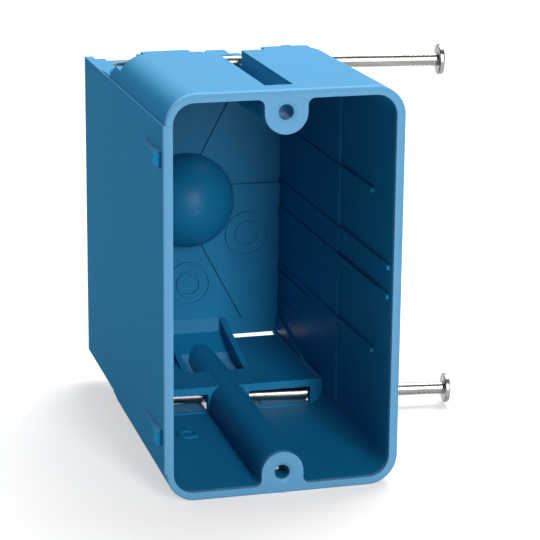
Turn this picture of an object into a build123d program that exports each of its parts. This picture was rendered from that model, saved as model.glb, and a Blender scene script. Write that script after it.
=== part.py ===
# New work outlet box, one gang deep, with its two mounting nails.
# Millimetres. X runs to the right, Y runs from the open front into the box, Z is up.
# The origin is the middle of the front opening plane.
import math
import os

from build123d import *

os.makedirs("parts", exist_ok=True)

# Outside of the housing
width = 54.7
screw_spacing = 83.34
boss_inset = 4.93
height = screw_spacing + 2 * boss_inset
depth = 90.0
wall = 2.0
floor_wall = 1.9
corner_radius = 6.85
side_draft = 1.6
level_draft = 1.2
rim_round = 0.45

# Stud plate on the left side
plate_proud = 0.45
plate_thickness = 2.0

# Device screw bosses on the rim
screw_hole = 3.5
countersink = 5.2
countersink_depth = 0.4
boss_radius = 4.9
boss_length = 6.5

# Ridge behind each boss, hollow from outside
boss_flare = 1.6
trough_radius = 3.25
trough_back = 3.5
ridge_back = 6.0

# Nail bracket across the floor and the roof
bracket_front = 0.55 * depth
bracket_height = 9.2
bracket_rear = bracket_front + 11.0
lip_level = 3.0
flat_end = bracket_front + 2.0
land_reach = 3.4
land_inner = 9.0
land_outer = 20.5
land_slant = 1.2
centre_piece = 4.8
centre_reach = 4.3
centre_level = 2.9
window_inner = 5.2
window_outer = 21.0
sill_lip = 0.9
window_low = 2.9
window_high = 7.3
window_depth = 8.5

# Nails
shank = 3.2
nail_clearance = 0.06
nail_level = 4.4
nail_depth = bracket_front + 6.5
nail_slant = 7.4
nail_length = 80.0
head_diameter = 7.4
head_thickness = 1.3
point_length = 5.0
top_head_reach = 53.0
bottom_head_reach = 57.0
grip_marks = 5

# Sloping rear of the housing and its cable entries
inner_rear = depth - wall
slope_start = bracket_rear + 2.5
slope_level = 14.7
entry_inner = 8.6
entry_outer = 22.8
entry_skin = 1.9
entry_side = 1.5
entry_rise = 0.3
slit_length = 11.4
slit_depth = inner_rear - 2.0
slit_top = 9.8
slit_shift = 0.9

# Channel between the cable entries, levels of its floor from the bracket to the rear wall
channel_floor = (
    (bracket_rear + 1, 6.2),
    (bracket_rear + 0.53 * (inner_rear - bracket_rear), 7.5),
    (inner_rear - 2, 11.6),
)
channel_skin = 1.7

# Dome, bands and rings on the rear wall
dome_radius = 12.3
dome_side = -1.7
dome_level = 0.6
band_height = 0.8
level_band = 6.8
slant_band = 4.5
slant_angle = 62.0
ring_outer = 6.0
ring_inner = 3.4
ring_line = 0.8
ring_height = 0.5
floor_ring = 2.6

# Ribs along the right wall: front end, height from the middle
rib_places = (
    (14.4, 19.4),
    (2.3, 4.3),
    (2.5, -2.6),
    (12.4, -18.3),
    (inner_rear - 24, -20.1),
    (inner_rear - 16, -27.8),
)
rib_width = 1.0
rib_height = 0.8
step_depth = 38.7
step_height = 0.4

# Positioning tabs on the stud side
tab_level = 32.0
tab_start = 3.0
tab_length = 14.0
tab_width = 3.0
nub_radius = 1.9
nub_length = 2.6

# Values worked out from the sizes above
half_height = height / 2
half_width = width / 2
left_face = -half_width
body_left = left_face + plate_proud
inner_left = left_face + plate_thickness
inner_right = half_width - wall
inner_radius = corner_radius - wall
slope_rate = (slope_level - bracket_height) / (inner_rear - slope_start)
under_roof = bracket_height - entry_skin
under_entry = bracket_height + entry_rise - 0.4 * entry_skin
channel_half = entry_inner - entry_side
ridge_end = inner_rear - ridge_back
under_channel = channel_floor[1][1] - channel_skin
channel_rise = channel_floor[2][1] + channel_skin / 2 - channel_floor[1][1]
channel_rate = channel_rise / (depth - channel_floor[1][0])
land_end = flat_end + land_reach
bore = shank + 2 * nail_clearance
lean = math.tan(math.radians(nail_slant))


def level(side, above):
    """Height of a point that lies `above` the outer floor or below the outer roof."""
    return side * (half_height - above)


def skin(y):
    """How far the outer floor and roof have drawn in at depth `y`."""
    return level_draft * y / depth


def between(low, high, near, far, side, under, over):
    """Centre and size of a block on the floor (side -1) or on the roof (side 1)."""
    middle = ((low + high) / 2, (near + far) / 2, level(side, (under + over) / 2))
    return middle, (high - low, far - near, over - under)


# Space inside the housing, used to hollow it
with BuildPart() as cavity:
    with BuildSketch(Plane.XZ.offset(1)):
        with Locations(((inner_left + inner_right) / 2, 0)):
            RectangleRounded(inner_right - inner_left, height - 2 * floor_wall, inner_radius)
    with BuildSketch(Plane.XZ.offset(-inner_rear)):
        with Locations(((inner_left + inner_right - side_draft) / 2, 0)):
            RectangleRounded(
                inner_right - side_draft - inner_left,
                height - 2 * (floor_wall + level_draft),
                inner_radius,
            )
    loft()
    with BuildSketch(Plane.YZ):
        Polygon(
            (-2, half_height),
            (bracket_front, half_height),
            (bracket_front, level(1, bracket_height)),
            (slope_start, level(1, bracket_height)),
            (inner_rear + 2, level(1, slope_level + 2 * slope_rate)),
            (inner_rear + 2, level(-1, slope_level + 2 * slope_rate)),
            (slope_start, level(-1, bracket_height)),
            (bracket_front, level(-1, bracket_height)),
            (bracket_front, -half_height),
            (-2, -half_height),
            align=None,
        )
    extrude(amount=width, both=True, mode=Mode.INTERSECT)

# Housing, one moulded piece
with BuildPart() as box_body:
    # Rounded block that narrows on its right side
    with BuildSketch(Plane.XZ):
        with Locations(((body_left + half_width) / 2, 0)):
            RectangleRounded(half_width - body_left, height, corner_radius)
    with BuildSketch(Plane.XZ.offset(-depth)):
        with Locations(((body_left + half_width - side_draft) / 2, 0)):
            RectangleRounded(
                half_width - side_draft - body_left, height - 2 * level_draft, corner_radius
            )
    loft()
    # Side outline with the step behind the nails and the sloping rear
    with BuildSketch(Plane.YZ):
        with BuildLine():
            upper = Polyline(
                (-1, 0),
                (-1, half_height + 1),
                (land_end, half_height + 1),
                (land_end, level(1, lip_level)),
                (bracket_rear, level(1, lip_level)),
                (bracket_rear, level(1, under_roof)),
                (slope_start, level(1, under_roof)),
                (depth, level(1, under_entry)),
                (depth + 1, level(1, under_entry)),
                (depth + 1, 0),
            )
            mirror(upper, about=Plane.XZ)
        make_face()
    extrude(amount=width, both=True, mode=Mode.INTERSECT)
    # Soft outer edge of the rim
    fillet(box_body.faces().sort_by(Axis.Y)[0].edges(), rim_round)

    # Flat plate against the stud
    with BuildSketch(Plane.YZ.offset(left_face)):
        Polygon(
            (0, half_height - corner_radius),
            (depth, half_height - corner_radius - level_draft),
            (depth, -half_height + corner_radius + level_draft),
            (0, -half_height + corner_radius),
            align=None,
        )
    extrude(amount=plate_thickness)
    # Trough shaped wall of the channel between the cable entries
    for side in (-1, 1):
        with BuildSketch(Plane.YZ):
            with BuildLine():
                Polyline(
                    (bracket_rear - 1, level(side, bracket_height)),
                    (bracket_rear - 1, level(side, channel_floor[0][1] - channel_skin)),
                    (channel_floor[0][0], level(side, channel_floor[0][1] - channel_skin)),
                    (channel_floor[1][0], level(side, channel_floor[1][1] - channel_skin)),
                    (depth, level(side, channel_floor[2][1] - channel_skin / 2)),
                    (depth, level(side, slope_level + 1)),
                    (bracket_rear - 1, level(side, bracket_height)),
                )
            make_face()
        extrude(amount=entry_inner, both=True)
    add(cavity.part, mode=Mode.SUBTRACT)
    for side in (-1, 1):
        with BuildSketch(Plane.YZ):
            with BuildLine():
                Polyline(
                    (channel_floor[0][0], level(side, bracket_height + 6)),
                    (channel_floor[0][0], level(side, channel_floor[0][1])),
                    (channel_floor[1][0], level(side, channel_floor[1][1])),
                    (channel_floor[2][0], level(side, channel_floor[2][1])),
                    (inner_rear, level(side, slope_level)),
                    (inner_rear, level(side, slope_level + 6)),
                    (channel_floor[0][0], level(side, bracket_height + 6)),
                )
            make_face()
        extrude(amount=channel_half, both=True, mode=Mode.SUBTRACT)

    for side in (-1, 1):
        # Boss and ridge along the floor
        with BuildSketch(Plane.XZ):
            with Locations((0, level(side, boss_inset))):
                Circle(boss_radius)
            with Locations((0, level(side, boss_inset / 2 + 0.5))):
                Rectangle(2 * boss_radius, boss_inset - 1)
        extrude(amount=-ridge_end)
        # Concave flares where the boss joins the rim
        with BuildSketch(Plane.XZ):
            with Locations((0, level(side, floor_wall + (boss_flare - 1) / 2))):
                Rectangle(2 * (boss_radius + boss_flare), boss_flare + 1)
            for hand in (-1, 1):
                with Locations((hand * (boss_radius + boss_flare), level(side, floor_wall + boss_flare))):
                    Circle(boss_flare, mode=Mode.SUBTRACT)
        extrude(amount=-boss_length)
        # Room behind the step is open above the ridge
        with BuildSketch(Plane.YZ):
            with BuildLine():
                Polyline(
                    (land_end, level(side, -1)),
                    (land_end, level(side, lip_level)),
                    (bracket_rear, level(side, lip_level)),
                    (bracket_rear, level(side, channel_floor[0][1] - channel_skin)),
                    (channel_floor[1][0], level(side, under_channel)),
                    (depth, level(side, under_channel + channel_rate * (depth - channel_floor[1][0]))),
                    (depth, level(side, -1)),
                    (land_end, level(side, -1)),
                )
            make_face()
        extrude(amount=entry_inner, both=True, mode=Mode.SUBTRACT)
        # Trough that hollows the ridge from outside
        with BuildSketch(Plane.XZ.offset(-boss_length)):
            with Locations((0, level(side, boss_inset))):
                Circle(trough_radius)
            with Locations((0, level(side, boss_inset / 2 - 1))):
                Rectangle(2 * trough_radius, boss_inset + 2)
        extrude(amount=-(channel_floor[1][0] - trough_back - boss_length), mode=Mode.SUBTRACT)
        # Screw hole with its countersink
        with BuildSketch(Plane.XZ):
            with Locations((0, side * screw_spacing / 2)):
                Circle(screw_hole / 2)
        extrude(amount=-boss_length - 1, mode=Mode.SUBTRACT)
        mouth = (0, countersink_depth / 2, side * screw_spacing / 2)
        with Locations(Plane(origin=mouth, z_dir=(0, -1, 0))):
            Cone(screw_hole / 2, countersink / 2, countersink_depth, mode=Mode.SUBTRACT)

        # Floor cut back beside the lands so that the nail lies open
        spans = (
            (-land_inner, -trough_radius),
            (trough_radius, land_inner),
            (land_outer, half_width + 1),
            (left_face - 1, -land_outer),
        )
        for low, high in spans:
            place, size = between(low, high, flat_end, bracket_rear + 1, side, -1, nail_level)
            with Locations(place):
                Box(*size, mode=Mode.SUBTRACT)
        # Lands under the windows, which reach further back than the floor beside them
        for hand in (-1, 1):
            with BuildSketch(Plane.XY.offset(level(side, skin(flat_end)))):
                Polygon(
                    (hand * land_inner, flat_end - 1),
                    (hand * land_inner, flat_end),
                    (hand * (land_inner + land_slant), land_end),
                    (hand * (land_outer - land_slant), land_end),
                    (hand * land_outer, flat_end),
                    (hand * land_outer, flat_end - 1),
                    align=None,
                )
            extrude(amount=-side * (window_low - 0.3 - skin(flat_end)))
            reach = nail_depth + 1.5 if hand < 0 else land_end + 0.6
            ends = sorted((hand * window_inner, hand * window_outer))
            place, size = between(
                ends[0], ends[1], flat_end - 1, reach, side, window_low - 0.3 - sill_lip, window_low - 0.3
            )
            with Locations(place):
                Box(*size)
        # Centre piece behind the nail
        place, size = between(
            -centre_piece / 2,
            centre_piece / 2,
            nail_depth + 1.4,
            bracket_rear + centre_reach,
            side,
            centre_level,
            boss_inset + trough_radius + 0.3,
        )
        with Locations(place):
            Box(*size)
        # Windows in the front of the bracket
        for hand in (-1, 1):
            ends = sorted((hand * window_inner, hand * window_outer))
            reach = bracket_front + window_depth + (1 if hand < 0 else -1)
            place, size = between(ends[0], ends[1], bracket_front - 1, reach, side, window_low, window_high)
            with Locations(place):
                Box(*size, mode=Mode.SUBTRACT)
        # Cable entries: a flap between side fins, with a slit at its rear end
        for hand in (-1, 1):
            middle = hand * (entry_inner + entry_outer) / 2
            with BuildSketch(Plane.YZ.offset(middle)):
                Polygon(
                    (bracket_rear, level(side, bracket_height)),
                    (slope_start, level(side, bracket_height)),
                    (inner_rear, level(side, bracket_height + entry_rise)),
                    (inner_rear, level(side, slope_level + 6)),
                    (bracket_rear, level(side, bracket_height + 6)),
                    align=None,
                )
            extrude(amount=(entry_outer - entry_inner) / 2, both=True, mode=Mode.SUBTRACT)
            slit_middle = middle + hand * slit_shift
            place, size = between(
                slit_middle - slit_length / 2,
                slit_middle + slit_length / 2,
                slit_depth,
                depth + 1,
                side,
                under_entry - 2,
                slit_top,
            )
            with Locations(place):
                Box(*size, mode=Mode.SUBTRACT)
        # Bore for the nail, slanted back to the left
        with Locations(
            Plane(
                origin=(0, nail_depth, level(side, nail_level)),
                x_dir=(0, 0, 1),
                z_dir=(1, -lean, 0),
            )
        ):
            Cylinder(bore / 2, 2 * width, mode=Mode.SUBTRACT)

    # Ribs along the right wall
    for start, rib_level in rib_places:
        with BuildSketch(Plane.XY.offset(rib_level - rib_width / 2)):
            Polygon(
                (inner_right + 0.5, start),
                (inner_right - side_draft * start / inner_rear - rib_height, start),
                (inner_right - side_draft - rib_height, inner_rear + 0.5),
                (inner_right + 0.5, inner_rear + 0.5),
                align=None,
            )
        extrude(amount=rib_width)
    # Step in the right wall
    with BuildSketch(Plane.XY.offset(-half_height + corner_radius)):
        Polygon(
            (inner_right + 0.5, step_depth),
            (inner_right - side_draft * step_depth / inner_rear, step_depth),
            (inner_right - side_draft * step_depth / inner_rear - step_height, step_depth + step_height),
            (inner_right - side_draft - step_height, inner_rear + 0.5),
            (inner_right + 0.5, inner_rear + 0.5),
            align=None,
        )
    extrude(amount=height - 2 * corner_radius)

    # Radiating bands and rings on the rear wall
    with BuildSketch(Plane.XZ.offset(-inner_rear)):
        with Locations((dome_side, dome_level)):
            Rectangle(2 * width, level_band)
            for turn in (slant_angle, 180 - slant_angle):
                with Locations(Rotation(0, 0, turn)):
                    Rectangle(2 * half_height, slant_band)
        with BuildSketch(mode=Mode.INTERSECT):
            with Locations(((inner_left + inner_right - side_draft) / 2, 0)):
                Rectangle(inner_right - side_draft - inner_left + 0.4, height - 2 * slope_level + 0.4)
    extrude(amount=band_height)
    with BuildSketch(Plane.XZ.offset(-inner_rear)):
        for place in ((14.7, -9.6), (-1.0, -22.2)):
            with Locations(place):
                for ring in (ring_outer, ring_inner):
                    Circle(ring)
                    Circle(ring - ring_line, mode=Mode.SUBTRACT)
    extrude(amount=ring_height)
    with BuildSketch(Plane.XY.offset(-half_height + floor_wall + skin(35.7))):
        with Locations((-13.6, 35.7)):
            Circle(floor_ring)
            Circle(floor_ring - ring_line, mode=Mode.SUBTRACT)
    extrude(amount=ring_height)
    # Dome that bulges into the box, hollow from outside
    dome_axis = Axis((dome_side, 0, dome_level), (0, 1, 0))
    with BuildSketch(Plane((dome_side, inner_rear, dome_level))):
        with BuildLine():
            CenterArc((0, 0), dome_radius, 270, 90)
            Polyline((dome_radius, 0), (dome_radius, 1), (0, 1), (0, -dome_radius))
        make_face()
    revolve(axis=dome_axis)
    with BuildSketch(Plane((dome_side, inner_rear, dome_level))):
        with BuildLine():
            CenterArc((0, 0), dome_radius - wall, 270, 90)
            Polyline(
                (dome_radius - wall, 0),
                (dome_radius - wall, wall + 1),
                (0, wall + 1),
                (0, wall - dome_radius),
            )
        make_face()
    revolve(axis=dome_axis, mode=Mode.SUBTRACT)

    # Positioning tabs on the stud side: a half round bead with a taller nub at its front
    for side in (-1, 1):
        for radius, length in ((tab_width / 2, tab_length), (nub_radius, nub_length)):
            with BuildSketch(Plane.XZ.offset(-tab_start)):
                with Locations((left_face, side * tab_level)):
                    Circle(radius)
            extrude(amount=-length)
        with Locations((left_face, tab_start + tab_length, side * tab_level)):
            Sphere(tab_width / 2)

box_body.part.label = "box_body"
export_step(box_body.part, "parts/box_body.step")

# Nails: head, shank with grip marks, point
for name, side, reach in (("top_nail", 1, top_head_reach), ("bottom_nail", -1, bottom_head_reach)):
    with BuildPart() as nail:
        axis_start = Plane(
            origin=(reach, nail_depth - reach * lean, level(side, nail_level)),
            x_dir=(0, 0, 1),
            z_dir=(-1, lean, 0),
        )
        with BuildSketch(axis_start):
            Circle(head_diameter / 2)
        extrude(amount=head_thickness)
        fillet(nail.edges(), 0.35)
        with BuildSketch(axis_start.offset(head_thickness)):
            Circle(shank / 2)
        extrude(amount=nail_length - head_thickness - point_length)
        with BuildSketch(axis_start.offset(nail_length - point_length)):
            Rectangle(shank * 0.7, shank * 0.7)
        with BuildSketch(axis_start.offset(nail_length)):
            Rectangle(shank * 0.12, shank * 0.12)
        loft()
        for number in range(grip_marks):
            with BuildSketch(axis_start.offset(head_thickness + 1.5 + 1.2 * number)):
                Circle(shank / 2 + 0.1)
                Circle(shank / 2 - 0.12, mode=Mode.SUBTRACT)
            extrude(amount=0.5, mode=Mode.SUBTRACT)
    nail.part.label = name
    export_step(nail.part, f"parts/{name}.step")
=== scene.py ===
import bpy
import numpy as np
from mathutils import Matrix, Vector


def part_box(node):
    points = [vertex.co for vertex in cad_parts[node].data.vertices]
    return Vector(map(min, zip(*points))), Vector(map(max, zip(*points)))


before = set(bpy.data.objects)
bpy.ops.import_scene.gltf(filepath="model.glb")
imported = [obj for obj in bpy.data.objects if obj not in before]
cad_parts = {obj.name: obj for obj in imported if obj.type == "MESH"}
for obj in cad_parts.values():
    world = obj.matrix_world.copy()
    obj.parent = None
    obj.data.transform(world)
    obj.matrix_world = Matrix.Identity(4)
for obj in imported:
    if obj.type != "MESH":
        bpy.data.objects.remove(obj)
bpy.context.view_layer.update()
print("frame loaded")

black = (0.0, 0.0, 0.0, 1.0)
white = (1.0, 1.0, 1.0, 1.0)


class Socket:
    # wraps a node's output, so that an expression on it adds its Math nodes

    def __init__(self, paint, link):
        self.paint = paint
        self.link = link

    def maths(self, operation, first, second):
        return self.paint.node("Math", {"operation": operation}, [first, second])

    def __add__(self, other):
        return self.maths("ADD", self, other)

    def __radd__(self, other):
        return self.maths("ADD", other, self)

    def __sub__(self, other):
        return self.maths("SUBTRACT", self, other)

    def __rsub__(self, other):
        return self.maths("SUBTRACT", other, self)

    def __mul__(self, other):
        return self.maths("MULTIPLY", self, other)

    def __rmul__(self, other):
        return self.maths("MULTIPLY", other, self)

    def size(self):
        # the value without its sign
        return self.paint.node("Math", {"operation": "ABSOLUTE"}, [self])

    def above(self, limit):
        # one where the value is over the limit, else zero
        return self.maths("GREATER_THAN", self, limit)

    def held(self):
        # kept between zero and one
        return self.paint.node("Math", {"operation": "ADD", "use_clamp": True}, [self, 0.0])


class Paint:
    # the node tree of one material, or of the room's world

    def __init__(self, holder):
        self.holder = holder
        holder.use_nodes = True
        self.tree = holder.node_tree
        self.tree.nodes.clear()

    def node(self, kind, settings=None, values=None, output=0):
        # settings go first, then values or links by socket name or place
        made = self.tree.nodes.new("ShaderNode" + kind)
        for key, value in (settings or {}).items():
            setattr(made, key, value)
        pairs = values.items() if isinstance(values, dict) else enumerate(values or [])
        for key, value in pairs:
            if isinstance(value, Socket):
                self.tree.links.new(value.link, made.inputs[key])
            else:
                made.inputs[key].default_value = value
        return Socket(self, made.outputs[output]) if made.outputs else None

    def blend(self, share, first, second):
        # a Mix node keeps its two colours in sockets 6 and 7, and their mix in output 2
        return self.node("Mix", {"data_type": "RGBA"}, {0: share, 6: first, 7: second}, output=2)

    def finish(self, shader, target="Material"):
        self.node("Output" + target, None, {"Surface": shader})
        return self.holder


def tone(red, green, blue):
    # sRGB colour out of 255 as linear light, by the sRGB standard's own curve
    values = np.array([red, green, blue]) / 255
    linear = np.where(values <= 0.04045, values / 12.92, ((values + 0.055) / 1.055) ** 2.4)
    return (*linear.tolist(), 1.0)


# moulded blue plastic of the housing
housing = {
    "blue": tone(22, 126, 173),
    "deepBlue": tone(14, 117, 164),
    # colour of the painted sheen on the front rim and on the flat outer faces
    "sheenPaint": tone(104, 165, 206),
    "rimDepth": 0.0008,  # full painted sheen behind the front edge
    "rimFade": 2.0,  # times rimDepth, where the painted sheen is gone
    "rimSheenPaint": 0.85,
    "flatGain": 2.5,  # how fast the painted sheen grows as a face turns up or down
    "flatStart": 1.5,
    "flatSheenPaint": 0.5,
    "roughOutside": 0.9,
    "roughInside": 0.4,
    "roughSpread": 0.06,
    "shine": 0.22,
    "wall": 0.002,
    "corner": 0.00685,
    "sideDraft": 0.0016,
    "levelDraft": 0.0012,
    "bracketPlace": 0.0505,
    "bracketRise": 0.0065,
    "cloudSize": 90.0,
    "cloudDetail": 3.0,
    "grainSize": 2600.0,
    "grainDetail": 2.0,
    "grainDepth": 0.00002,
    "grainStrength": 0.12,
}


def hollowMask(across, depth, height):
    # One inside the middle line of the walls, zero outside it: a rounded rectangle that narrows
    # with the draft towards the rear, and steps in above and below at the nail brackets.
    # How far a point lies past the corners' centres, sideways and upwards, is squared and
    # added, and the point is inside where that sum is no more than the radius squared.
    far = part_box("box_body")[1]
    radius = housing["corner"] - housing["wall"] / 2
    halfWidth = far[0] - housing["wall"] / 2 - radius
    halfHeight = far[2] - housing["wall"] / 2 - radius
    step = (depth - housing["bracketPlace"]).above(0.0) * housing["bracketRise"]
    past = across.size() - (halfWidth - depth * (housing["sideDraft"] / far[1]))
    over = height.size() - (halfHeight - depth * (housing["levelDraft"] / far[1]) - step)
    past = past * past.above(0.0)
    over = over * over.above(0.0)
    return 1.0 - (past * past + over * over).above(radius**2)


def plasticMaterial():
    # soft clouds of two blues, with a painted sheen that makes the front rim and the flat roof
    # and floor outside paler, rough outside and smoother inside, with a fine grain that breaks
    # up the gloss
    paint = Paint(bpy.data.materials.new("mouldedPlastic"))
    place = paint.node("TexCoord", output="Object")
    normal = paint.node("TexCoord", output="Normal")
    across, depth, height = (
        paint.node("SeparateXYZ", None, [place], output=axis) for axis in "XYZ"
    )
    hollow = hollowMask(across, depth, height)
    cloud = paint.node(
        "TexNoise",
        None,
        {"Vector": place, "Scale": housing["cloudSize"], "Detail": housing["cloudDetail"]},
    )
    grain = paint.node(
        "TexNoise",
        None,
        {"Vector": place, "Scale": housing["grainSize"], "Detail": housing["grainDetail"]},
    )
    # painted sheen: the front rim is made paler, in place of the gloss that the front light puts
    # on it
    fade = (housing["rimFade"] - depth * (1.0 / housing["rimDepth"])).held()
    rim = fade * housing["rimSheenPaint"]
    # painted sheen: the flat roof and floor outside are made paler, in place of the gloss that
    # the top light puts on the roof
    upright = paint.node("SeparateXYZ", None, [normal], output="Z").size()
    level = (housing["flatGain"] * upright - housing["flatStart"]).held()
    flat = level * (1.0 - hollow) * housing["flatSheenPaint"]
    blue = paint.blend(cloud, housing["deepBlue"], housing["blue"])
    polish = hollow * (housing["roughInside"] - housing["roughOutside"])
    bump = paint.node(
        "Bump",
        None,
        {
            "Strength": housing["grainStrength"],
            "Distance": housing["grainDepth"],
            "Height": grain,
        },
    )
    # the base colour carries the painted sheen of the rim and of the flat outer faces
    shader = paint.node(
        "BsdfPrincipled",
        None,
        {
            "Base Color": paint.blend(rim + flat, blue, housing["sheenPaint"]),
            "Roughness": housing["roughOutside"] + polish + housing["roughSpread"] * cloud,
            "Specular IOR Level": housing["shine"],
            "Normal": bump,
        },
    )
    return paint.finish(shader)


# bright drawn steel of the nails
steel = {
    "bright": tone(178, 176, 173),
    "dull": tone(122, 120, 117),
    "roughness": 0.22,
    "roughSpread": 0.14,
    "streaks": 700.0,
    "streakDetail": 2.0,
    "streakShape": (0.04, 1.0, 1.0),  # long along X, the way the shanks lie
}


def steelMaterial():
    # noise drawn out along the shank sets both the colour and the roughness
    paint = Paint(bpy.data.materials.new("drawnSteel"))
    place = paint.node("TexCoord", output="Object")
    stretched = paint.node("Mapping", None, {"Vector": place, "Scale": steel["streakShape"]})
    streak = paint.node(
        "TexNoise",
        None,
        {"Vector": stretched, "Scale": steel["streaks"], "Detail": steel["streakDetail"]},
    )
    shader = paint.node(
        "BsdfPrincipled",
        None,
        {
            "Base Color": paint.blend(streak, steel["dull"], steel["bright"]),
            "Metallic": 1.0,
            "Roughness": steel["roughness"] + steel["roughSpread"] * streak,
        },
    )
    return paint.finish(shader)


def dress(node, material):
    piece = bpy.data.objects[node]
    piece.data.materials.clear()
    piece.data.materials.append(material)


plastic = plasticMaterial()
nailSteel = steelMaterial()
dress("box_body", plastic)
dress("top_nail", nailSteel)
dress("bottom_nail", nailSteel)
print("materials set")

# the floor that the box stands on
ground = {
    "half": 3.0,
    "lines": 3,
    "colour": (0.5, 0.5, 0.5, 1.0),
    "glow": (0.5, 0.5, 0.5, 1.0),
}


def floorPiece():
    # flat square grid at the lowest level of the housing: X and Y run evenly from minus half
    # to half, and Z stays the same
    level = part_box("box_body")[0][2]
    lines = ground["lines"]
    side = np.linspace(-ground["half"], ground["half"], lines)
    x, y = np.meshgrid(side, side)
    points = np.stack([x.ravel(), y.ravel(), np.full(x.size, level)], axis=1)
    cell = np.arange(lines - 1)
    corner = (cell[:, None] * lines + cell).ravel()
    faces = np.stack([corner, corner + 1, corner + lines + 1, corner + lines], axis=1)
    mesh = bpy.data.meshes.new("floor")
    mesh.from_pydata(points.tolist(), [], faces.tolist())
    piece = bpy.data.objects.new("floor", mesh)
    bpy.context.scene.collection.objects.link(piece)
    paint = Paint(bpy.data.materials.new("paleFloor"))
    shows = paint.node("LightPath") + paint.node("LightPath", output="Is Glossy Ray")
    shader = paint.node(
        "BsdfPrincipled",
        None,
        {
            "Base Color": ground["colour"],
            "Roughness": 1.0,
            "Specular IOR Level": 0.0,
            "Emission Color": paint.blend(shows, black, ground["glow"]),
            "Emission Strength": 1.0,
        },
    )
    piece.data.materials.append(paint.finish(shader))


floorPiece()
print("floor set")

# three lamps that look at the origin, and the room around them
lamps = {
    "top": {"place": (0.3, 0.35, 0.75), "wide": 0.6, "tall": 0.6, "power": 9.2},
    "front": {"place": (0.12, -0.95, 0.4), "wide": 0.22, "tall": 0.75, "power": 8.9},
    "side": {"place": (-0.8, 0.1, 0.5), "wide": 0.5, "tall": 0.5, "power": 2.0},
}
room = {"low": 0.07, "high": 0.5, "spread": 2.0}


def lampPiece(name, settings):
    # the lamp's own -Z points from its place back to the origin
    lamp = bpy.data.lights.new(name, "AREA")
    lamp.shape = "RECTANGLE"
    lamp.size = settings["wide"]
    lamp.size_y = settings["tall"]
    lamp.energy = settings["power"]
    piece = bpy.data.objects.new(name, lamp)
    place = Vector(settings["place"])
    turn = (-place).to_track_quat("-Z", "Y").to_matrix().to_4x4()
    piece.matrix_world = Matrix.Translation(place) @ turn
    bpy.context.scene.collection.objects.link(piece)


for name, settings in lamps.items():
    lampPiece(name + "Lamp", settings)


def roomWorld():
    # brighter behind the box, dim elsewhere, plain white where the camera looks at it, and
    # white behind the box for what reflects it
    paint = Paint(bpy.data.worlds.new("room"))
    inward = paint.node("SeparateXYZ", None, [paint.node("TexCoord")], output="Y")
    behind = (room["spread"] * inward).held()
    light = room["low"] + room["high"] * behind
    shows = paint.node("LightPath") + paint.node("LightPath", output="Is Glossy Ray") * behind
    strength = light + shows * (1.0 - light)
    shader = paint.node("Background", None, {"Color": white, "Strength": strength})
    bpy.context.scene.world = paint.finish(shader, "World")


roomWorld()
print("light set")

# camera at the photograph's angle, its right and up given as directions in the frame
view = {
    "place": (-0.1306, -0.4590, 0.1433),
    "right": (0.9644, -0.2644, 0.0092),
    "up": (0.0645, 0.2688, 0.9610),
    "lens": 149.7,
    "sensor": 36.0,
}


def cameraPiece():
    # back is right crossed with up, and up is then squared to both
    right = Vector(view["right"]).normalized()
    back = right.cross(Vector(view["up"])).normalized()
    up = back.cross(right)
    turn = Matrix((right, up, back)).transposed().to_4x4()
    eye = bpy.data.cameras.new("photoView")
    eye.sensor_width = view["sensor"]
    eye.lens = view["lens"]
    piece = bpy.data.objects.new("photoView", eye)
    piece.matrix_world = Matrix.Translation(Vector(view["place"])) @ turn
    bpy.context.scene.collection.objects.link(piece)
    bpy.context.scene.camera = piece


cameraPiece()
bpy.context.scene.view_settings.view_transform = "Standard"
print("camera set")
